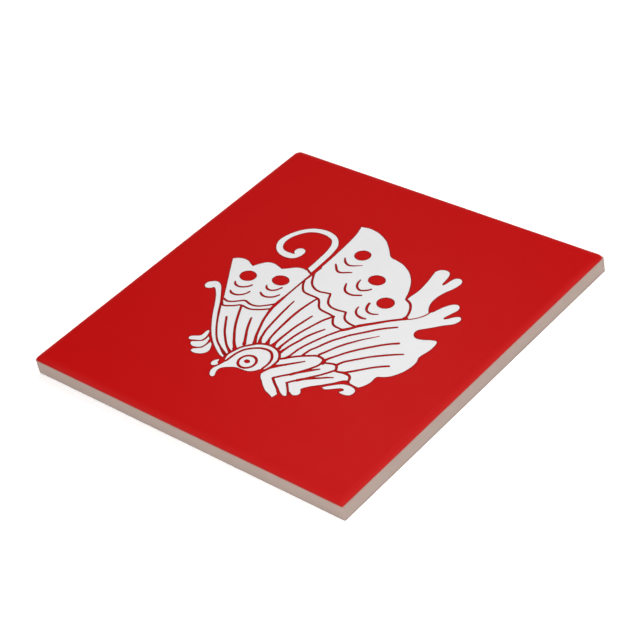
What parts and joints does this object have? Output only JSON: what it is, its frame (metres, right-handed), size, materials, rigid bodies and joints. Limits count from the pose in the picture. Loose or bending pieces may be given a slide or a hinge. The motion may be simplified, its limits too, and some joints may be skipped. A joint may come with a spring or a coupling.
{
  "type": "decorative wall tile",
  "caption": "Square glazed ceramic wall tile with a rolled cushion edge, bare fired-clay sides and a keyed back, its red face printed with a white heraldic butterfly.",
  "frame": {"origin": "middle of the back, on the plane of the land that the adhesive meets", "axes": "+Z out through the glazed face; +X and +Y along the sides, with +Y towards the top of the printed crest"},
  "size_m": [0.108, 0.108, 0.0055],
  "materials": {
    "red_glaze": "opaque red glaze, satin",
    "white_print": "white figure printed flush with the glaze, satin",
    "bare_clay": "unglazed fired clay, matt, fine grain"
  },
  "bodies": {
    "root": {"tile": "red_glaze"}
  },
  "joints": []
}
